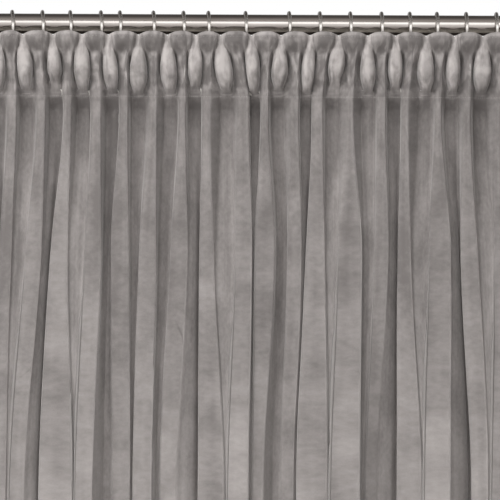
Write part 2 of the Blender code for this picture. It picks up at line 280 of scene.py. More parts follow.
def makeVelvet():
    look = dict(dark=(0.165, 0.152, 0.147, 1), light=(0.436, 0.406, 0.394, 1), sheenTint=(1.0, 0.96, 0.94, 1),
                darkest=-0.9, lightest=1.6, paintedTopLight=2.4, downLimit=-0.1, upLimit=0.3)
    # Heights and widths are in metres on the flat cloth, and a lift makes the velvet's colour paler: painted
    # light on the puffs, random patches in the heading.
    puffPaintedLight = dict(half=0.0075, edge=0.0125, foot=1.75, top=1.766, lift=1.0)  # painted light: each puff under a pinch is drawn paler, as lit from above
    crushed = dict(scale=(85, 48, 1), low=0.36, high=0.66, lift=0.75)  # patches where gathering crushed it
    heightShade = (1.31, 1.59, 0.1, -0.45)  # two heights and their lifts: painted shade, darker towards the heading and a little paler lower down
    # painted shade along small creases in the pile, and one painted highlight beside the first
    creaseShades = (
        (0.649, 1.459, -0.25, 0.021, 0.0012, -0.9),
        (0.652, 1.459, -0.25, 0.02, 0.0012, 0.5),
        (0.267, 1.417, 0.6, 0.022, 0.0014, -0.35),
        (1.63, 1.69, 0.1, 0.008, 0.0012, -0.7),
        (1.6, 1.32, -0.2, 0.012, 0.0014, -0.5),
    )
    material, tree, shader = startMaterial(
        "velvet", 0.86, Sheen_Weight=0.45, Sheen_Roughness=0.42, Sheen_Tint=look["sheenTint"],
        Specular_IOR_Level=0.12)
    cloth = addNode(tree, "ShaderNodeUVMap", uv_map="cloth").outputs[0]
    nap = placeGroup(tree, napLie, {"Vector": cloth, "Patches": 0.7, "Grain": 0.24})
    shade = combine(tree, "ADD", nap.outputs["Shade"], nap.outputs["Grain"])
    # painted light and shade: faces turned up are drawn paler and faces turned down a little darker, as if
    # lit from above
    facing = addNode(tree, "ShaderNodeSeparateXYZ", {
        "Vector": addNode(tree, "ShaderNodeNewGeometry").outputs["Normal"]}).outputs["Z"]
    facing = combine(tree, "MINIMUM", combine(tree, "MAXIMUM", facing, look["downLimit"]), look["upLimit"])
    place = addNode(tree, "ShaderNodeSeparateXYZ", {"Vector": cloth}).outputs
    # painted light: the velvet is drawn paler across each puff under a pinch
    fromPuff = combine(tree, "PINGPONG", place["X"], panel["flat"][0] / len(pleats) / 2)
    puffLightMask = spread(tree, fromPuff, puffPaintedLight["half"], puffPaintedLight["edge"], puffPaintedLight["lift"], 0.0)
    patches = stretchedNoise(tree, cloth, crushed["scale"], 2.5, 0.5, 0.5)
    patches = spread(tree, patches, crushed["low"], crushed["high"], -crushed["lift"], crushed["lift"])
    inHeading = spread(tree, place["Y"], puffPaintedLight["foot"], puffPaintedLight["top"])
    # painted shade: the velvet is drawn darker towards the heading, by its height on the flat cloth
    hanging = spread(tree, place["Y"], *heightShade)
    lifts = [combine(tree, "MULTIPLY", facing, look["paintedTopLight"]), hanging]
    lifts.append(combine(tree, "MULTIPLY", combine(tree, "ADD", patches, puffLightMask), inHeading))
    for row in creaseShades:
        mark = dict(zip(creaseColumns, row))
        lifts.append(placeGroup(tree, creaseShadeLine, {"Vector": cloth, **mark}).outputs[0])
    for lift in lifts:
        shade = combine(tree, "ADD", shade, lift)
    share = spread(tree, shade, look["darkest"], look["lightest"])
    tree.links.new(spread(tree, nap.outputs["Shade"], -0.6, 0.6, 0.92, 0.78), shader.inputs["Roughness"])
    finish(tree, shader, blendColours(tree, share, look["dark"], look["light"]), nap.outputs["Grain"],
           0.35, 0.6 * mm)
    return material


def makeWoven(name, roughness, sheen, threads, nap, shares, dark, light, relief):  # plain woven cloth
    material, tree, shader = startMaterial(name, roughness, Sheen_Weight=sheen)
    cloth = addNode(tree, "ShaderNodeUVMap", uv_map="cloth").outputs[0]
    weave = placeGroup(tree, plainWeave, {"Vector": cloth, "Threads": threads}).outputs[0]
    lie = placeGroup(tree, napLie, {"Vector": cloth, "Patches": nap[0], "Grain": nap[1]}).outputs["Shade"]
    share = combine(tree, "MULTIPLY_ADD", lie, shares["nap"], shares["base"])
    share = combine(tree, "MULTIPLY_ADD", weave, shares["weave"], share)
    finish(tree, shader, blendColours(tree, share, dark, light), weave, *relief)
    return material


def makeYarn(name, dark, light):  # spun cotton or polyester, for cords and sewing thread
    material, tree, shader = startMaterial(name, 0.8, Sheen_Weight=0.2)
    where = addNode(tree, "ShaderNodeTexCoord").outputs["Object"]
    fibre = stretchedNoise(tree, where, (700, 2400, 2400), 3.0, 0.6)
    share = spread(tree, fibre, 0.3, 0.7)
    finish(tree, shader, blendColours(tree, share, dark, light), fibre, 0.5, 0.15 * mm)
    return material


def makeMetal(name, dark, light, rough, along, around, strength):
    material, tree, shader = startMaterial(name, rough[1], 1.0)
    where = addNode(tree, "ShaderNodeTexCoord").outputs["Object"]
    grain = placeGroup(tree, brushing, {"Vector": where, "Along": along, "Round": around})
    share = combine(tree, "ADD", spread(tree, grain.outputs["Streak"], 0.3, 0.7, 0.0, 0.7),
                    spread(tree, grain.outputs["Smudge"], 0.35, 0.65, 0.0, 0.3))
    worn = combine(tree, "ADD", grain.outputs["Streak"], grain.outputs["Smudge"])
    tree.links.new(spread(tree, worn, 0.7, 1.3, *rough), shader.inputs["Roughness"])
    finish(tree, shader, blendColours(tree, share, dark, light), grain.outputs["Streak"], strength, 0.05 * mm)
    return material


clothBack = makeWoven("velvetBack", 0.92, 0.15, 650.0, (0.15, 0.2), dict(weave=0.4, nap=0.3, base=0.3),
                      (0.19, 0.178, 0.17, 1), (0.34, 0.32, 0.31, 1), (0.5, 0.3 * mm))
tapeWeave = makeWoven("tapeWeave", 0.85, 0.1, 520.0, (0.4, 0.3), dict(weave=0.7, nap=0.5, base=0.0),
                      (0.56, 0.54, 0.5, 1), (0.82, 0.8, 0.76, 1), (0.6, 0.4 * mm))
cordYarn = makeYarn("cordYarn", (0.6, 0.58, 0.53, 1), (0.86, 0.84, 0.8, 1))
seamYarn = makeYarn("seamYarn", (0.2, 0.185, 0.18, 1), (0.38, 0.36, 0.35, 1))
brushedSteel = makeMetal("brushedSteel", (0.46, 0.425, 0.4, 1), (0.68, 0.64, 0.61, 1), (0.13, 0.2),
                         along=9, around=2600, strength=0.25)
satinSteel = makeMetal("satinSteel", (0.55, 0.52, 0.49, 1), (0.74, 0.71, 0.68, 1), (0.2, 0.32),
                       along=300, around=900, strength=0.15)
hookSteel = makeMetal("hookSteel", (0.6, 0.59, 0.57, 1), (0.82, 0.81, 0.79, 1), (0.2, 0.36),
                      along=500, around=900, strength=0.12)
print("materials made")

# The velvet panel, in millimetres. cap: the pinch at a pleat's left. seam, mid and low: where its ridge's
# left and right edges are at the stitch line, 19 cm and 49 cm further down. out: how far forward those
# edges stand at low, and gap: how far forward the cloth to its left is there. tongue: how far down the puff
# under the pinch reaches, belly: where it is widest, wide: half its width there, and drift: how far its foot
# leans to the right. hood: how deep the hollow under the cap is. crease: 1 for a sharp fold along the
# ridge's left edge.

pleatColumns = "cap seam mid low out gap tongue belly wide drift hood crease".split()
pleats = [dict(zip(pleatColumns, row)) for row in (
    (-378, (-366, -357), (-372, -355), (-376, -352), (20, 27), 16, 72, 45, 8.4, 0, 0.4, 0),
    (-343, (-330, -322), (-338, -321), (-350, -333), (28, 31), 27, 70, 45, 8.4, 0, 0.5, 0),
    (-308.5, (-295, -285), (-305, -290), (-318, -296), (23, 29), 4, 72, 45, 8.4, 0, 0.3, 1),
    (-278, (-259, -250), (-272, -254), (-292, -274), (29, 27), 28, 72, 40, 8.0, 5, 0.7, 0),
    (-241, (-227, -218.5), (-242.5, -222), (-255, -215), (24, 30), 4, 62, 47, 7.0, 4, 0.2, 1),
    (-206, (-194, -182.5), (-200, -181), (-212, -190), (30, 33), 29.5, 72, 40, 9.0, 2, 1.0, 0),
    (-174, (-159, -149.5), (-168, -147), (-166, -146), (13, 15), 2, 74, 50, 7.6, 6, 1.0, 0),
    (-137, (-122.5, -114.5), (-133.5, -114), (-141, -119), (20, 23), 10, 75, 54, 9.0, 0, 1.0, 0),
    (-102, (-87, -79), (-95.5, -76), (-108, -88), (13, 10), 9, 74, 50, 8.6, 4, 0.3, 0),
    (-67.5, (-58, -48.5), (-61.5, -44.5), (-61, -31), (23, 28), -2, 66, 42, 8.2, 0, 0.5, 1),
    (-37, (-14.7, -2), (-17, 2.5), (-27, -1), (29.5, 33), 28.5, 73, 45, 8.8, 8, 0.2, 0),
    (0.5, (13.5, 21), (6.5, 30.5), (4, 18), (27, 21), 29, 74, 40, 7.4, 3, 0.5, 0),
    (36.5, (50, 58.5), (46.5, 62.5), (40, 54), (9, 10), 3, 70, 50, 8.2, -3, 0.7, 0),
    (72, (75.7, 87.7), (68.5, 90.5), (59, 95), (22, 29), 7, 74, 45, 6.6, -3, 0.4, 1),
    (106.5, (118.6, 125), (108, 136), (99, 134), (30, 34), 29.5, 62, 38, 8.4, -6, 0.3, 0),
    (142, (155, 164), (152.5, 168.5), (141, 156), (23, 13), 26, 73, 50, 7.4, 1, 0.5, 0),
    (176, (184.5, 192.5), (180, 195.5), (181, 210), (23, 28), 0, 66, 45, 7.2, 0, 0.5, 1),
    (213, (225.4, 231.5), (219, 244), (213, 243), (29.5, 34), 29, 72, 50, 8.6, 0, 0.3, 0),
    (247.5, (259.5, 267.5), (257, 277), (271, 291), (23, 28), 0, 72, 45, 6.8, -2, 0.3, 1),
    (282.5, (298.7, 307), (298, 318), (295, 321), (29, 33), 28.5, 73, 48, 9.6, -2, 0.3, 0),
    (317, (331, 339), (330, 347), (329, 343), (22, 13), 26, 70, 46, 8.2, 0, 0.4, 0),
    (352, (366, 374), (362, 380), (356, 382), (22, 27), 0, 72, 45, 8.2, 0, 0.4, 1),
)]
panel = dict(
    rightEdge=388.0, flat=(1.68, 1.83), thickness=1.2 * mm,
    seamDrop=81.2, settle=1.8, midDrop=267.0, lowDrop=567.0, farDrop=1150.0, hemDrop=1830.0,
    topDip=3.6, slitDip=1.8, dipWidth=7.5, slitWidth=1.3, dipFades=26.0,
    columnsPerRun=(2, 3, 3, 2, 2, 3, 3, 2),
)
# The heading's section at each drop below the top edge, in millimetres: how far forward the hollow beside
# the ridge stands and how far it is from the ridge, then the ridge's half width, left edge, middle and
# right edge, and how far forward the pinch between two ridges is drawn.
headingLevels = [
    # drop, hollow, reach, ridgeHalf, edge, ridge, rightEdge, pinch
    (0, 26.0, 3.4, 7.6, 27.5, 28.3, 27.5, 20.5),
    (2, 28.0, 3.4, 7.6, 29.4, 30.4, 29.4, 22.5),
    (5, 29.0, 3.4, 7.6, 30.3, 31.3, 30.3, 24.0),
    (10, 29.0, 3.3, 7.3, 30.2, 31.2, 30.2, 25.2),
    (14, 28.4, 3.2, 7.0, 29.6, 30.0, 29.6, 26.0),
    (18, 27.0, 3.0, 6.6, 27.9, 26.6, 27.9, 26.8),
    (22, 24.5, 2.8, 6.2, 25.4, 23.8, 25.4, 27.7),
    (26, 20.5, 2.7, 5.7, 23.6, 23.0, 23.9, 28.6),
    (31, 16.0, 2.6, 5.3, 22.6, 23.2, 23.8, 29.8),
    (38, 12.5, 2.5, 4.9, 22.4, 23.6, 24.0, 31.4),
    (50, 12.0, 2.4, 4.6, 22.4, 23.8, 24.3, 33.8),
    (60, 13.5, 2.6, 4.4, 22.6, 23.8, 24.5, 35.0),
    (68, 15.0, 3.0, 4.3, 22.6, 23.8, 24.7, 35.0),
    (75, 16.0, 3.2, 4.2, 22.8, 24.0, 24.8, 35.0),
    (81, 16.0, 3.2, 4.2, 22.8, 24.0, 24.8, 35.0),
    (83, 14.8, 2.8, 4.2, 22.8, 24.0, 24.8, 35.0),
    (88, 11.0, 2.2, 4.4, 23.0, 24.2, 25.0, 35.0),
    (98, 8.5, 2.2, 4.6, 23.2, 24.4, 25.4, 35.0),
]
puff = dict(topHalf=3.2, startDrop=8.0, footHalf=0.64, footOut=31.0, groove=2.6, under=16.5, shoulder=2.4,
            valley=8.0, valleyHalf=6.5, valleyShoulder=0.8, tuck=9.0, thinnest=0.12, mostOfSpan=0.78,
            capDrop=20.0, capRise=5.0)
cap = dict(leanFrom=14.0, hoodDepth=4.5, hoodDrop=22.0, hoodHalf=5.5, hoodSides=0.4)


def puffSection(i, drop, drawn):  # a puff's middle, shoulder and half width at one drop
    p = pleats[min(i, len(pleats) - 1)]
    foot, belly, wide = p["tongue"], p["belly"], p["wide"]
    footHalf = puff["footHalf"] * wide
    roll = min(1.0, max(0.0, (drop - (foot - footHalf)) / footHalf))  # 0 where the foot starts to round off
    if drop < belly:
        rise = min(1.0, max(0.0, (drop - puff["startDrop"]) / (belly - puff["startDrop"])))
        half = puff["topHalf"] + (wide - puff["topHalf"]) * math.sin(rise * math.pi / 2) ** 1.5
    else:
        fall = min(1.0, (drop - belly) / (foot - footHalf - belly))
        half = wide + (footHalf - wide) * fall ** 2.0
        drawn += (puff["footOut"] - drawn) * fall ** 1.5
        half *= math.sqrt(max(puff["thinnest"], 1 - roll ** 2))
    fallen = 1 - math.sqrt(1 - roll ** 2)
    tucked = min(1.0, max(0.0, (drop - panel["seamDrop"]) / puff["tuck"]))  # drawn in below the seam
    under = puff["under"] + math.sin(tucked * math.pi / 2) * (puff["valley"] - puff["under"])
    out = drawn + fallen * (under - drawn)
    shoulder = puff["shoulder"] + fallen * (puff["valleyShoulder"] - puff["shoulder"])
    half += roll ** 4 * (puff["valleyHalf"] - half)
    return out, shoulder, half


def headingPoints(row):  # the section's points at one drop, from the left edge of the panel to the right
    drop, hollow, reach, ridgeHalf, edge, ridge, rightEdge, pinch = row
    caps = [p["cap"] for p in pleats] + [panel["rightEdge"]]
    lean = min(1.0, max(0.0, (drop - cap["leanFrom"]) / (panel["seamDrop"] - cap["leanFrom"])))
    hooded = cap["hoodDepth"] * math.exp(-(((drop - cap["hoodDrop"]) / cap["hoodHalf"]) ** 2))
    xs, outs = [], []
    for i, p in enumerate(pleats):
        driftA = p["drift"] * lean
        driftB = (pleats[i + 1]["drift"] if i + 1 < len(pleats) else 0) * lean
        left, right = caps[i] + driftA, caps[i + 1] + driftB
        middle = (caps[i] + caps[i + 1]) / 2
        middle += lean * ((p["seam"][0] + p["seam"][1]) / 2 - middle)
        half = ridgeHalf + lean * ((p["seam"][1] - p["seam"][0]) / 2 - ridgeHalf)
        hood = hooded * p["hood"]
        edgeHood = cap["hoodSides"] * hood
        puffA, shoulderA, halfA = puffSection(i, drop, pinch)
        puffB, shoulderB, halfB = puffSection(i + 1, drop, pinch)
        if drop < puff["capDrop"]:  # near the top the puff runs into the cap
            shoulderA = shoulderB = puff["shoulder"] - puff["capRise"] * (1 - drop / puff["capDrop"])
        spanA, spanB = middle - half - left, right - middle - half  # room for half a puff and the hollow
        halfA, halfB = min(halfA, puff["mostOfSpan"] * spanA), min(halfB, puff["mostOfSpan"] * spanB)
        reachA, reachB = min(reach, 0.9 * (spanA - halfA)), min(reach, 0.9 * (spanB - halfB))
        grooveA = min(middle - half - reachA, left + halfA + puff["groove"])
        grooveB = max(middle + half + reachB, right - halfB - puff["groove"])
        xs += [left, left + halfA, grooveA, middle - half, middle + 0.4 * half, middle + half, grooveB,
               right - halfB]
        outs += [puffA, puffA - shoulderA, hollow, edge - edgeHood, ridge - hood, rightEdge - edgeHood,
                 hollow, puffB - shoulderB]
    xs.append(caps[-1])
    outs.append(puffSection(len(pleats), drop, pinch)[0])
    return xs, outs


# own: how much of a pleat's shape at low is there, merged: how far it is down to the gap between two ridges
# that have run together, and slot: how much further a crease goes. A gap as far forward as mergedGap is
# hardly there, and middle is how far forward the cloth stands on average.
foldLevel = dict(
    mid=dict(left=23.0, right=25.5, gap=11.0, own=0.25, soft=0.35, merged=3.0, slot=2.0),
    low=dict(left=22.0, right=25.0, gap=13.0, own=0.8, soft=1.0, merged=1.0, slot=5.0),
)
fold = dict(mergedGap=25, middle=19.0, sideGap=16.0, sideWidth=8.0, pastEnd=4.0, end=18.0, lip=0.4,
            rounding=2.2, underCrease=2.5)


def foldPoints(key, depth):  # the same points lower down, where ridges merge into broad folds
    usual = foldLevel[key]
    soft = usual["soft"]

    def level(p, value):
        given = {"left": p["out"][0], "right": p["out"][1], "gap": p["gap"]}[value]
        stands = usual[value] + usual["own"] * (given - usual[value])
        return fold["middle"] + depth * (stands - fold["middle"])

    def gapAt(i):
        if i == 0 or i == len(pleats):
            return fold["sideGap"]
        if pleats[i]["gap"] >= fold["mergedGap"]:
            return min(level(pleats[i - 1], "right"), level(pleats[i], "left")) - usual["merged"]
        return level(pleats[i], "gap")

    xs, outs = [], []
    for i, p in enumerate(pleats):
        left, right = p[key]
        outLeft, outRight, gap, nextGap = level(p, "left"), level(p, "right"), gapAt(i), gapAt(i + 1)
        before = left - pleats[i - 1][key][1] if i else fold["sideWidth"]
        outBefore = level(pleats[i - 1], "right") if i else gap
        isLast = i + 1 == len(pleats)
        ahead = (panel["rightEdge"] + fold["pastEnd"] if isLast else pleats[i + 1][key][0]) - right
        if p["crease"]:  # the cloth slants down to a slot under the ridge's sharp edge
            xs += [left - 0.22 * before, left - 0.05 * before, left + fold["underCrease"]]
            outs += [outBefore + 0.62 * (gap - outBefore), gap - usual["slot"], gap + 0.6 * (outLeft - gap)]
        else:
            xs += [left - reach * before for reach in (0.26 + 0.22 * soft, 0.05 + 0.17 * soft, 0.05)]
            outs += [gap + rise * (outLeft - gap) for rise in (0, 0.3 * soft, 0.6 + 0.25 * soft)]
        xs += [left, right - min(0.3 * (right - left), fold["rounding"]), right]
        outs += [outLeft, outLeft + 0.75 * (outRight - outLeft), outRight + fold["lip"]]
        if not isLast and pleats[i + 1]["crease"]:
            reaches, falls = (0.2, 0.5), (0.14, 0.34)
        else:
            reaches, falls = (0.08 + 0.14 * soft, 0.42), (0.8 - 0.4 * soft, 0.88)
        xs += [right + reach * ahead for reach in reaches]
        outs += [outRight + fall * (nextGap - outRight) for fall in falls]
    xs.append(panel["rightEdge"])
    outs.append(fold["end"])
    xs[0] = pleats[0]["cap"]
    return xs, outs


def sectionTable():
    levels, xs, outs = [], [], []
    table = np.array(headingLevels, float)
    headingDrops = np.array([0, 2, *range(5, 80, 3), 81, 82, 83, 85, 88, 92, 98], float)
    for row in np.column_stack([headingDrops, glide(table[:, 0], table[:, 1:], headingDrops)]):
        x, out = headingPoints(row)
        levels.append(row[0])
        xs.append(x)
        outs.append(out)
    for drop, key, depth in ((panel["midDrop"], "mid", 1.0), (panel["lowDrop"], "low", 1.0),
                             (panel["farDrop"], "low", 1.25), (panel["hemDrop"], "low", 1.4)):
        x, out = foldPoints(key, depth)
        levels.append(drop)
        xs.append(x)
        outs.append(out)
    return levels, np.array(xs), np.array(outs)


sections = sectionTable()
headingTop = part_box("velvet_panel")[1].z - panel["settle"] * mm


def clothPoints(drops, at):  # the panel's front at each drop and place across, rows by columns, in metres
    levels, xs, outs = sections
    drops, at = np.asarray(drops, float), np.asarray(at, float)
    x = through(glide(levels, xs, drops), at)
    out = through(glide(levels, outs, drops), at)
    pinch = np.array([p["cap"] for p in pleats] + [panel["rightEdge"]])
    near = np.abs(x[:, :, None] - pinch).min(axis=2)
    dip = panel["topDip"] * np.exp(-((near / panel["dipWidth"]) ** 2))
    dip += panel["slitDip"] * np.exp(-((near / panel["slitWidth"]) ** 2))
    fade = np.clip(1 - drops / panel["dipFades"], 0, 1)[:, None]
    z = -drops[:, None] - dip * fade
    return np.stack([x * mm, -out * mm, z * mm + headingTop], axis=2)


lastPlace = 8 * len(pleats)
ripple = dict(depth=1.5, length=4.4, fade=7.0, reach=16.0)  # millimetres
seamLine = dict(height=0.2, width=1.1, drop=panel["seamDrop"] + 0.6)


def footRipples(x, drop):  # small wrinkles round the foot of each puff, in millimetres
    total = 0.0
    for p in pleats:
        foot = puff["footHalf"] * p["wide"]
        across = abs(x - p["cap"] - p["drift"])
        if across > ripple["reach"] or not p["belly"] < drop < panel["seamDrop"]:
            continue
        down = max(0.0, drop - (p["tongue"] - foot))
        fall = min(1.0, (drop - p["belly"]) / (p["tongue"] - foot - p["belly"]))
        beyond = math.hypot(across, down) - (p["wide"] + (foot - p["wide"]) * fall)
        if beyond > 0:
            wave = math.sin(2 * math.pi * beyond / ripple["length"]) * math.exp(-beyond / ripple["fade"])
            total += ripple["depth"] * fall * wave * (1 - across / ripple["reach"])
    return total


def clothFront(drops, at):  # the same with its wrinkles and the small unevenness of hanging cloth
    points = clothPoints(drops, at)
    for r, drop in enumerate(drops):
        amount = min(1.0, 0.35 + drop / 400)
        puckers = 0.5 + 0.9 * math.exp(-(((drop - 50) / 34) ** 2))
        seam = seamLine["height"] * math.exp(-(((drop - seamLine["drop"]) / seamLine["width"]) ** 2))
        for c in range(points.shape[1]):
            x, y, z = points[r, c]
            slow = noise.noise(Vector((x * 18, 3.1, z * 7)))
            fine = noise.noise(Vector((x * 75, 8.7, z * 34)))
            small = noise.noise(Vector((x * 190, 1.3, z * 120))) if drop < 110 else 0.0
            points[r, c, 0] += amount * 0.9 * mm * slow
            points[r, c, 1] += (amount * 0.9 * slow + puckers * (fine + 0.8 * small)) * mm
            points[r, c, 1] -= (footRipples(x / mm, drop) + seam) * mm
    return points


def towardsBack(points, distance):  # the same sheet, moved along its own normals to behind it
    normal = np.cross(np.gradient(points, axis=1), np.gradient(points, axis=0))
    return points + distance * normal / np.linalg.norm(normal, axis=2, keepdims=True)


def acrossPanel():  # places across the panel, where each pleat has eight runs
    runs = panel["columnsPerRun"]
    at = [8 * i + k + j / n for i in range(len(pleats)) for k, n in enumerate(runs) for j in range(n)]
    return np.array(at + [lastPlace], float)


def sheetOfCloth(name, points, drops, at, materials, thickness):
    rows, columns = points.shape[:2]
    bm = bmesh.new()
    bmesh.ops.create_grid(bm, x_segments=columns - 1, y_segments=rows - 1, size=0.5)
    layer = bm.loops.layers.uv.new("cloth")
    place = {}
    for vert in bm.verts:
        c = round((vert.co.x + 0.5) * (columns - 1))
        r = round((0.5 - vert.co.y) * (rows - 1))
        place[vert] = (at[c] / lastPlace * panel["flat"][0], panel["flat"][1] - drops[r] * mm)
        vert.co = points[r, c]
    for face in bm.faces:
        for loop in face.loops:
            loop[layer].uv = place[loop.vert]
    bmesh.ops.recalc_face_normals(bm, faces=bm.faces)
    if sum(face.normal.y for face in bm.faces) > 0:
        bmesh.ops.reverse_faces(bm, faces=bm.faces)
    cloth = newObject(name, bm, materials)
    wall = cloth.modifiers.new("thickness", "SOLIDIFY")
    wall.thickness = thickness
    wall.offset = -1
    if len(materials) > 1:
        wall.material_offset = 1
    return cloth


def frontDrops():
    rows = [0, 0.8, 1.8, 3, 4.5, *range(6, 27, 2), 28.5, 31, 34, 37, *range(40, 61, 4), 63, 66, 68.5, 71, 73,
            75, 76.5, 78, 79.2, 80.4, 82, 84, 87, 91, 96, 102, 110, 120, 132, 146, 162, 180, 200]
    rows += [222 + 26 * k for k in range(17)]
    rows += list(np.linspace(664, panel["hemDrop"], 26))
    return np.array(rows, float)


def softPiece(piece, slotName, *nodes):  # rides with the panel
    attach(piece, "panel")
    if nodes:
        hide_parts(*nodes)
    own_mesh(piece)
    return piece


velvet = makeVelvet()
drops, at = frontDrops(), acrossPanel()
front = clothFront(drops, at)
cloth = softPiece(sheetOfCloth("velvet_cloth", front, drops, at, [velvet, clothBack], panel["thickness"]),
                  "grey_velvet", "velvet_panel")
print("velvet panel made")

tape = dict(
    top=4.0, bottom=82.0, gap=0.25 * mm, thickness=0.7 * mm, stitchDrops=(6.5, 79.5),
    pocketDrops=(18.5, 38.0, 74.0), pocketHeight=8.0, pocketStep=1.6, pocketWidth=1.1, pocketColumns=10,
    pocketStandOff=0.8 * mm, pocketThickness=0.3 * mm, stitch=3.4 * mm,
)
tapeLayers = panel["thickness"] + tape["gap"] + tape["thickness"]


def makeTape():
    inside = (drops >= tape["top"]) & (drops <= tape["bottom"])
    points = towardsBack(front, panel["thickness"] + tape["gap"])[inside]
    piece = sheetOfCloth("heading_tape_cloth", points, drops[inside], at, [tapeWeave], tape["thickness"])
    return softPiece(piece, "tape_cloth", "heading_tape")


def makePockets():  # three rows of woven pockets on the tape, for the hooks and the draw cords
    count = int(lastPlace / tape["pocketStep"])
    perPocket = tape["pocketColumns"]
    fine = np.arange(count * perPocket + 1) * tape["pocketStep"] / perPocket
    shown = int(perPocket * tape["pocketWidth"] / tape["pocketStep"])
    rise = np.sin(np.clip(np.arange(len(fine)) % perPocket / shown, 0, 1) * math.pi)
    for number, drop in enumerate(tape["pocketDrops"]):
        rows = drop + tape["pocketHeight"] * np.array([-0.5, 0.0, 0.5])
        surface = clothFront(rows, fine)
        points = towardsBack(surface, tapeLayers + (tape["pocketStandOff"] * rise)[None, :, None])
        name = f"tape_pockets_{number + 1}"
        piece = sheetOfCloth(name, points, rows, fine, [tapeWeave], tape["pocketThickness"])
        bm = bmesh.new()
        bm.from_mesh(piece.data)
        layer = bm.loops.layers.uv["cloth"]
        pitch = tape["pocketStep"] / lastPlace * panel["flat"][0]
        width = pitch * shown / perPocket
        between = [face for face in bm.faces
                   if (sum(loop[layer].uv.x for loop in face.loops) / 4) % pitch > width]
        bmesh.ops.delete(bm, geom=between, context="FACES")
        bm.to_mesh(piece.data)
        bm.free()
        softPiece(piece, "tape_cloth")


thread = dict(radius=0.28 * mm, proud=0.12 * mm, pointsPerStitch=4)


def stitches(name, faceOut, faceIn):  # a thread that shows on both faces of the layers it holds
    route = [faceIn[k] if k // 2 % 2 else faceOut[k] for k in range(len(faceOut))]
    return softPiece(tube(name, route, thread["radius"], [seamYarn], sides=6), "grey_velvet")


def bothFaces(surface, depth):
    return towardsBack(surface, -thread["proud"]), towardsBack(surface, depth + thread["proud"])


def threadAcross(name, drop, startAt, endAt, stitch, depth):  # a row of stitches across the panel
    count = int((endAt - startAt) / lastPlace * panel["flat"][0] / stitch) * thread["pointsPerStitch"]
    surface = clothFront([drop - 1, drop, drop + 1], np.linspace(startAt, endAt, count))
    return stitches(name, *[face[1] for face in bothFaces(surface, depth)])


def threadDown(name, place, topDrop, bottomDrop, stitch, depth):  # a row of stitches down a side hem
    count = int((bottomDrop - topDrop) * mm / stitch) * thread["pointsPerStitch"]
    surface = clothFront(np.linspace(topDrop, bottomDrop, count), [place - 0.2, place, place + 0.2])
    return stitches(name, *[face[:, 1] for face in bothFaces(surface, depth)])


hem = dict(sideWidth=2.6, sideStitch=2.3, height=70.0, stitchUp=65.0, stitch=4.0 * mm, gap=0.25 * mm)


def makeHems():
    offset = panel["thickness"] + hem["gap"]
    layers = offset + panel["thickness"]
    below = drops[drops > tape["bottom"] + 1]
    for side, low, high, place in (
            ("left", 0, hem["sideWidth"], hem["sideStitch"]),
            ("right", lastPlace - hem["sideWidth"], lastPlace, lastPlace - hem["sideStitch"])):
        across = np.linspace(low, high, 8)
        points = towardsBack(clothFront(below, across), offset)
        piece = sheetOfCloth(f"side_hem_{side}", points, below, across, [clothBack], panel["thickness"])
        softPiece(piece, "grey_velvet")
        top, bottom = below[0] + 2, panel["hemDrop"] - 4
        threadDown(f"side_hem_thread_{side}", place, top, bottom, hem["stitch"], layers)
    across = at[(at >= hem["sideWidth"] + 0.2) & (at <= lastPlace - hem["sideWidth"] - 0.2)]
    rows = np.linspace(panel["hemDrop"] - hem["height"], panel["hemDrop"], 5)
    points = towardsBack(clothFront(rows, across), offset)
    piece = sheetOfCloth("bottom_hem", points, rows, across, [clothBack], panel["thickness"])
    softPiece(piece, "grey_velvet")
    drop = panel["hemDrop"] - hem["stitchUp"]
    threadAcross("bottom_hem_thread", drop, across[0], across[-1], hem["stitch"], layers)


def merged(name, pieces, materials):  # several meshes made one piece
    bm = bmesh.new()
    for piece in pieces:
        bm.from_mesh(piece.data)
        bpy.data.objects.remove(piece)
    return newObject(name, bm, materials)


cord = dict(strand=0.46 * mm, twist=0.42 * mm, pitch=3.4 * mm, stepsPerTurn=7, end=2 * mm, knot=0.72 * mm,
            knotThickness=0.75 * mm, knotSteps=48)


def makeCord(level):  # a two-strand draw cord along the tape's back, knotted at both ends
    node = f"draw_cord_{level}"
    low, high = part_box(node)
    drop = (headingTop - (low.z + high.z) / 2) / mm
    surface = clothFront([drop - 1, drop, drop + 1], at)
    y = towardsBack(surface, tapeLayers)[1, :, 1].max() + cord["strand"] + cord["twist"]
    z = (low.z + high.z) / 2
    start, end = low.x + cord["end"], high.x - cord["end"]
    count = int((end - start) / cord["pitch"] * cord["stepsPerTurn"])
    parts = []
    for side in (0, math.pi):
        route = []
        for k in range(count + 1):
            angle = side + 2 * math.pi * k / cord["stepsPerTurn"]
            route.append((start + (end - start) * k / count, y + cord["twist"] * math.cos(angle),
                          z + cord["twist"] * math.sin(angle)))
        parts.append(tube(f"{node}_strand", route, cord["strand"], [cordYarn], sides=6))
    for x in (start, end):
        loop = []
        for k in range(cord["knotSteps"]):
            t = 2 * math.pi * k / cord["knotSteps"]
            loop.append((x + cord["knot"] * -math.sin(3 * t),
                         y + cord["knot"] * (math.sin(t) + 2 * math.sin(2 * t)),
                         z + cord["knot"] * (math.cos(t) - 2 * math.cos(2 * t))))
        parts.append(tube(f"{node}_knot", loop, cord["knotThickness"], [cordYarn], sides=8, closed=True))
    piece = merged(f"{node}_twisted", parts, [cordYarn])
    return softPiece(piece, "cord_cotton", node)


makeTape()
makePockets()
for number, drop in enumerate(tape["stitchDrops"]):
    threadAcross(f"tape_thread_{number + 1}", drop, 0.3, lastPlace - 0.3, tape["stitch"], tapeLayers)
makeHems()
makeCord("top")
makeCord("bottom")
print("tape, hems and draw cords made")


def spinRound(bm, axis, steps):  # a full turn about an axis through the origin, closed and facing outwards
    bmesh.ops.spin(bm, geom=bm.verts[:] + bm.edges[:], axis=axis, cent=(0, 0, 0), angle=2 * math.pi,
                   steps=steps, use_merge=True)
    bmesh.ops.remove_doubles(bm, verts=bm.verts, dist=mergeDistance)
    bmesh.ops.recalc_face_normals(bm, faces=bm.faces)


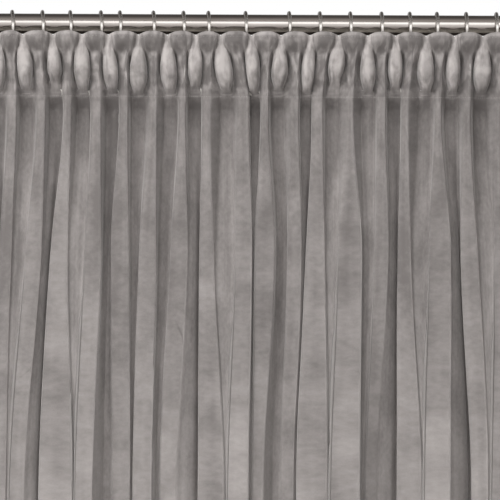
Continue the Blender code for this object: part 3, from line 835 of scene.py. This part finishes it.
def turnedShape(name, outline, closed, steps, materials):  # a shape turned about X from (x, radius) points
    bm = bmesh.new()
    verts = [bm.verts.new((x, 0, radius)) for x, radius in outline]
    pairs = list(zip(verts, verts[1:])) + ([(verts[-1], verts[0])] if closed else [])
    for pair in pairs:
        bm.edges.new(pair)
    spinRound(bm, (1, 0, 0), steps)
    piece = newObject(name, bm, materials)
    piece.data.set_sharp_from_angle(angle=math.radians(35))
    return piece


def standsFor(piece, body, node):
    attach(piece, body)
    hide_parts(node)


pole = dict(steps=96, wall=1.2 * mm, edge=0.25 * mm, capGap=0.3 * mm, capFillet=1.6 * mm, capFlat=0.6,
            capEdge=0.4 * mm, plugEdge=0.8 * mm, groove=0.35 * mm, grooveAt=3.4 * mm)


def makePole():
    low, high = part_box("pole_tube")
    radius, inner = high.z, high.z - pole["wall"]
    e = pole["edge"]
    outline = [(low.x, inner), (low.x, radius - e), (low.x + e, radius), (high.x - e, radius),
               (high.x, radius - e), (high.x, inner)]
    tubePiece = turnedShape("pole_brushed_tube", outline, True, pole["steps"], [brushedSteel])
    standsFor(tubePiece, "pole", "pole_tube")
    for side, sign in (("left", -1), ("right", 1)):
        node = f"pole_end_cap_{side}"
        capLow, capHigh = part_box(node)
        face, plugEnd = (capHigh.x, capLow.x) if sign > 0 else (capLow.x, capHigh.x)
        back = (high.x if sign > 0 else low.x) + sign * pole["capGap"]
        rim, plug = capHigh.z, inner - pole["capGap"]
        f, g, edge, chamfer = pole["capFillet"], pole["groove"], pole["capEdge"], pole["plugEdge"]
        grooveX = back + sign * pole["grooveAt"]
        shape = [(face, 0), (face, pole["capFlat"] * (rim - f))]
        shape += [(face - sign * (f - f * math.cos(t)), rim - f + f * math.sin(t))
                  for t in np.linspace(0, math.pi / 2, 7)]
        shape += [(grooveX + sign * k * g, rim - deep) for k, deep in ((1, 0), (0.5, g), (-0.5, g), (-1, 0))]
        shape += [(back + sign * edge, rim), (back, rim - edge), (back, plug),
                  (plugEnd + sign * chamfer, plug), (plugEnd, plug - chamfer), (plugEnd, 0)]
        turned = turnedShape(f"{node}_turned", shape, False, pole["steps"], [brushedSteel])
        standsFor(turned, "pole", node)


ring = dict(inner=38 * mm, wire=4.2 * mm, steps=72, sides=16, eyeInner=4.8 * mm, eyeWire=1.6 * mm,
            eyeSink=1.2 * mm, eyeSteps=28, eyeSides=12, turnFirst=math.radians(9), turnLast=math.radians(-2))


def wireRing(name, radius, wire, steps, sides, aboutX):
    bm = bmesh.new()
    bmesh.ops.create_circle(bm, segments=sides, radius=wire / 2)
    turn = Matrix.Rotation(math.pi / 2, 3, "X" if aboutX else "Y")
    bmesh.ops.rotate(bm, verts=bm.verts, cent=(0, 0, 0), matrix=turn)
    bmesh.ops.translate(bm, verts=bm.verts, vec=(0, 0, radius))
    spinRound(bm, (1, 0, 0) if aboutX else (0, 1, 0), steps)
    return newObject(name, bm, [satinSteel])


def ringShape():  # a ring of round wire with its eye, about the origin
    radius = (ring["inner"] + ring["wire"]) / 2
    body = wireRing("ringBlank", radius, ring["wire"], ring["steps"], ring["sides"], True)
    eyeRadius = (ring["eyeInner"] + ring["eyeWire"]) / 2
    eye = wireRing("eyeBlank", eyeRadius, ring["eyeWire"], ring["eyeSteps"], ring["eyeSides"], False)
    eye.location.z = -(ring["inner"] / 2 + ring["wire"]) + ring["eyeSink"] - eyeRadius - ring["eyeWire"] / 2
    union = body.modifiers.new("eye", "BOOLEAN")
    union.operation = "UNION"
    union.object = eye
    bpy.context.view_layer.update()
    shape = bpy.data.meshes.new_from_object(body.evaluated_get(bpy.context.evaluated_depsgraph_get()))
    eyeZ = eye.location.z
    for blank in (body, eye):
        bpy.data.objects.remove(blank)
    return shape, eyeZ


hook = dict(wire=1.4 * mm, reach=21.5 * mm, prong=14 * mm, back=4 * mm, halfTurn=1.3 * mm, clear=3.4 * mm,
            eyeGap=0.3 * mm, tapeGap=0.4 * mm)


def backmost(x, low, high):  # how far back the tape comes near x, between two heights
    places = x + np.linspace(-hook["clear"], hook["clear"], 9)
    rows = [row[np.argsort(row[:, 0])] for row in tapeBehind if low < row[:, 2].mean() < high]
    return max(np.interp(places, row[:, 0], row[:, 1]).max() for row in rows)


def hookRoute(x, eyeZ):  # over the eye's lower rim, down and forward, and up behind the tape
    over = eyeZ - ring["eyeInner"] / 2 + hook["wire"] / 2 + hook["eyeGap"]
    bend = eyeZ - hook["reach"] - hook["wire"]
    top = bend + hook["prong"]
    prong = backmost(x, bend - 2 * mm, top + 1 * mm) + hook["tapeGap"] + hook["wire"] / 2
    back, half = hook["back"], hook["halfTurn"]
    points = [
        (back, over - 7 * mm), (back * 1.02, over - 3 * mm), (back * 0.6, over - 0.9 * mm), (0, over),
        (-back * 0.6, over - 0.9 * mm), (-back, over - 4 * mm), (prong * 0.5 - back * 0.4, (over + bend) / 2),
        (prong + 2.8 * half, bend + 3 * mm), (prong + 2.2 * half, bend + 0.8 * mm), (prong + half, bend),
        (prong + 0.15 * half, bend + 0.8 * mm), (prong, bend + 3 * mm), (prong, top - 2 * mm),
        (prong + 0.3 * mm, top),
    ]
    return [(x, y, z) for y, z in smoothRoute(points, 5)]


def makeRingsAndHooks():
    shape, eyeDrop = ringShape()
    count = sum(1 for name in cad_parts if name.startswith("ring_"))
    for i in range(count):
        node, hookNode = f"ring_{i + 1:02d}", f"hook_{i + 1:02d}"
        body = "panel" if i == 0 else f"ring_{i + 1:02d}_set"
        low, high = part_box(node)
        x, z = (low.x + high.x) / 2, high.z - ring["inner"] / 2 - ring["wire"]
        turn = ring["turnFirst"] + i / (count - 1) * (ring["turnLast"] - ring["turnFirst"])
        mesh = shape.copy()
        mesh.transform(Matrix.Translation((x, 0, z)) @ Matrix.Rotation(turn, 4, "Z"))
        standsFor(placeMesh(f"curtain_{node}", mesh, [satinSteel]), body, node)
        wire = tube(f"curtain_{hookNode}", hookRoute(x, z + eyeDrop), hook["wire"] / 2, [hookSteel], sides=10)
        standsFor(wire, body, hookNode)


tapeBehind = towardsBack(front, tapeLayers)
makePole()
makeRingsAndHooks()
print("pole, rings and hooks made")

studio = dict(distance=3.6, viewHeight=-0.2759, viewWidth=0.6125, roll=math.radians(0.26), filmWidth=36,
              fill=0.33, floorSize=4, floorGap=2 * mm)
camera = bpy.data.objects.new("camera", bpy.data.cameras.new("camera"))
scene.collection.objects.link(camera)
camera.location = (0, -studio["distance"], studio["viewHeight"])
camera.rotation_euler = (math.pi / 2, -studio["roll"], 0)
camera.data.sensor_width = studio["filmWidth"]
camera.data.lens = studio["filmWidth"] * studio["distance"] / studio["viewWidth"]
scene.camera = camera


def areaLight(name, location, target, size, power):
    data = bpy.data.lights.new(name, "AREA")
    data.shape = "RECTANGLE"
    data.size, data.size_y = size
    data.energy = power
    lamp = bpy.data.objects.new(name, data)
    scene.collection.objects.link(lamp)
    lamp.location = location
    lamp.visible_glossy = False
    lamp.visible_camera = False
    aim = Vector(target) - Vector(location)
    lamp.rotation_euler = aim.to_track_quat("-Z", "Y").to_euler()


areaLight("keyLight", (-2.5, -2.2, 0.9), (0, 0, -0.8), (1.3, 1.3), 62)
areaLight("topLight", (-0.3, -1.3, 2.3), (0, 0, -0.2), (1.8, 0.9), 52)
areaLight("frontLight", (-0.4, -2.2, -1.2), (0, 0, -0.9), (2.4, 1.2), 25)
areaLight("backLight", (1.2, 3.2, 1.0), (0, 0, -0.8), (2.0, 2.0), 60)
world = bpy.data.worlds.new("studio")
scene.world = world
world.use_nodes = True


def paintSky(tree):  # soft fill, a striped studio for the metal to mirror, and plain white behind it all
    fill = tree.nodes["Background"]
    fill.inputs["Strength"].default_value = studio["fill"]
    split = addNode(tree, "ShaderNodeSeparateXYZ", {
        "Vector": addNode(tree, "ShaderNodeTexCoord").outputs["Generated"]})
    height = spread(tree, split.outputs["Z"], -0.25, 0.35)
    fillColour = blendColours(tree, height, (0.22, 0.19, 0.17, 1), (0.98, 0.95, 0.92, 1))
    tree.links.new(fillColour, fill.inputs["Color"])
    bands = addNode(tree, "ShaderNodeValToRGB", {"Fac": spread(tree, split.outputs["Z"], -1, 1)})
    stops = [(0.0, (0.05, 0.042, 0.038)), (0.12, (0.065, 0.053, 0.048)), (0.2, (0.13, 0.115, 0.108)),
             (0.33, (0.3, 0.29, 0.285)), (0.44, (0.46, 0.45, 0.445)), (0.57, (0.52, 0.515, 0.51)),
             (0.61, (1, 1, 1)), (0.73, (1, 1, 1)), (0.77, (0.24, 0.228, 0.22)),
             (0.93, (0.2, 0.188, 0.18)), (1.0, (0.17, 0.157, 0.15))]
    while len(bands.color_ramp.elements) < len(stops):
        bands.color_ramp.elements.new(1.0)
    for element, (position, colour) in zip(bands.color_ramp.elements, stops):
        element.position = position
        element.color = (*colour, 1)
    front = spread(tree, split.outputs["Y"], 0.1, -0.6, 0.5, 2.0)
    mirrored = addNode(tree, "ShaderNodeBackground", {"Color": bands.outputs["Color"], "Strength": front})
    paper = addNode(tree, "ShaderNodeBackground", {"Color": (1, 1, 1, 1), "Strength": 1.0})
    rays = addNode(tree, "ShaderNodeLightPath").outputs
    inner = addNode(tree, "ShaderNodeMixShader", {
        0: rays["Is Glossy Ray"], 1: fill.outputs[0], 2: mirrored.outputs[0]})
    outer = addNode(tree, "ShaderNodeMixShader", {
        0: rays["Is Camera Ray"], 1: inner.outputs[0], 2: paper.outputs[0]})
    tree.links.new(outer.outputs[0], tree.nodes["World Output"].inputs["Surface"])


paintSky(world.node_tree)
bm = bmesh.new()
bmesh.ops.create_grid(bm, x_segments=1, y_segments=1, size=studio["floorSize"])
bmesh.ops.translate(bm, verts=bm.verts, vec=(0, 0, cadLow[2] - studio["floorGap"]))
floorPaint, _, floorShader = startMaterial("floorPaint", 0.7)
floorShader.inputs["Base Color"].default_value = (0.62, 0.61, 0.6, 1)
floor = newObject("floor", bm, [floorPaint], smooth=False)
floor.visible_glossy = False
scene.view_settings.view_transform = "Standard"
